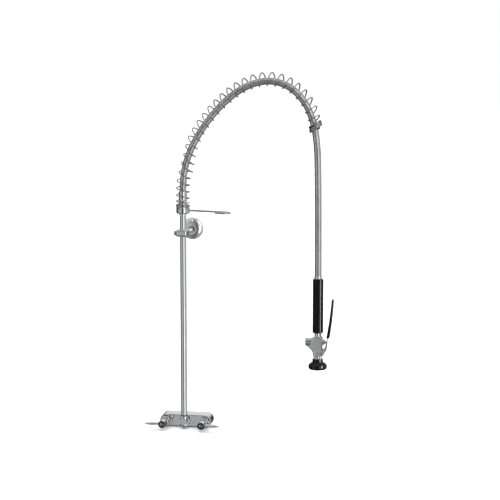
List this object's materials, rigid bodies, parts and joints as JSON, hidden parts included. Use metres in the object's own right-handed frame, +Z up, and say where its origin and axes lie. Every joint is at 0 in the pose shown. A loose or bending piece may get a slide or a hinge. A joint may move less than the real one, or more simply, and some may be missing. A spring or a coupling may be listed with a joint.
{
  "type": "pre-rinse faucet",
  "caption": "Wall-mounted two-handle pre-rinse faucet with a riser, wall bracket, overhead spring arch, flexible steel hose, finger hook and squeeze-lever spray valve.",
  "frame": {"origin": "on the faucet body's back face, midway between the two inlets", "axes": "+Y into the wall, -Y towards the user, +Z up along the riser, +X the way the spring arch reaches at rest"},
  "size_m": [0.4798, 0.1463, 0.9061],
  "materials": {
    "black_grip": "glossy black moulding",
    "black_rubber": "matte moulded rubber",
    "black_sleeve": "satin black moulding",
    "brass": "machined brass",
    "ceramic": "lapped ceramic",
    "chrome": "polished chrome plate",
    "chrome_tube": "polished chrome tube",
    "cold_mark": "very dark blue ring",
    "hot_mark": "very dark red ring",
    "seal_rubber": "plain seal rubber",
    "spring_steel": "bright stainless spring wire",
    "steel": "bright steel",
    "steel_hose": "wound stainless hose"
  },
  "bodies": {
    "faucet": {"faucet_body": "chrome", "hot_cartridge": "brass", "cold_cartridge": "brass", "hot_fixed_disc": "ceramic", "cold_fixed_disc": "ceramic", "hot_bonnet": "chrome", "cold_bonnet": "chrome", "hot_packing": "seal_rubber", "cold_packing": "seal_rubber", "outlet_nipple": "brass", "outlet_nut": "chrome", "elbow": "chrome", "riser": "chrome_tube", "riser_adapter": "chrome", "retaining_ring": "steel", "bracket_clamp": "chrome", "clamp_screw": "steel", "bracket_rod": "chrome_tube", "wall_flange": "chrome", "flange_set_screw": "steel"},
    "hot_handle": {"hot_stem": "brass", "hot_turning_disc": "ceramic", "hot_handle": "chrome", "hot_index_ring": "hot_mark", "hot_handle_screw": "steel"},
    "cold_handle": {"cold_stem": "brass", "cold_turning_disc": "ceramic", "cold_handle": "chrome", "cold_index_ring": "cold_mark", "cold_handle_screw": "steel"},
    "hook": {"hook_collar": "chrome", "hook_arm": "steel", "hook_set_screw": "steel"},
    "arch": {"spring_holder": "chrome", "overhead_spring": "spring_steel", "spring_end_guide": "black_sleeve", "hose_nut": "chrome", "hose_washer": "seal_rubber", "hose_collar": "chrome", "hose_upper": "steel_hose"},
    "hanging_hose": {"hose_lower": "steel_hose", "hose_ferrule": "chrome", "swivel_seal": "seal_rubber", "swivel_clip": "steel"},
    "spray_valve": {"grip_tube": "steel", "grip_sleeve": "black_grip", "spray_body": "chrome", "rear_cap": "chrome", "valve_spring": "steel", "stem_seal": "seal_rubber", "valve_bonnet": "chrome", "lever_pin": "steel", "spray_head": "steel", "spray_face": "steel", "rubber_bumper": "black_rubber"},
    "valve_plunger": {"valve_stem": "steel", "valve_disc": "seal_rubber"},
    "squeeze_lever": {"lever": "chrome", "lever_sleeve": "black_sleeve"}
  },
  "joints": [
    {"name": "hot_turn", "type": "hinge", "parent": "faucet", "child": "hot_handle", "pos_m": [-0.0508, -0.06, 0], "axis": [0, -1, 0], "range_deg": [0, 90]},
    {"name": "cold_turn", "type": "hinge", "parent": "faucet", "child": "cold_handle", "pos_m": [0.0508, -0.06, 0], "axis": [0, 1, 0], "range_deg": [0, 90]},
    {"name": "hook_swivel", "type": "hinge", "parent": "faucet", "child": "hook", "pos_m": [0, -0.052, 0.5446], "axis": [0, 0, 1], "range_deg": [-100, 10]},
    {"name": "arch_swivel", "type": "hinge", "parent": "faucet", "child": "arch", "pos_m": [0, -0.052, 0.556], "axis": [0, 0, 1], "range_deg": [-190, 10]},
    {"name": "hose_swing", "type": "hinge", "parent": "arch", "child": "hanging_hose", "pos_m": [0.333, -0.052, 0.748], "axis": [0, 1, 0], "range_deg": [-15, 15]},
    {"name": "spray_swivel", "type": "hinge", "parent": "hanging_hose", "child": "spray_valve", "pos_m": [0.343, -0.052, 0.3655], "axis": [0, 0, 1], "continuous": true},
    {"name": "lever_squeeze", "type": "hinge", "parent": "spray_valve", "child": "squeeze_lever", "pos_m": [0.3525, -0.052, 0.1925], "axis": [0, -1, 0], "range_deg": [0, 6], "stiffness_Nm_per_rad": 1.5, "springref_deg": -11.46},
    {"name": "plunger_push", "type": "slide", "parent": "spray_valve", "child": "valve_plunger", "axis": [-1, 0, 0], "range_m": [0, 0.0032], "deforming": ["valve_spring"]}
  ],
  "couplings": [
    {"joint": "plunger_push", "follows": "lever_squeeze", "m_per_rad": 0.03}
  ]
}
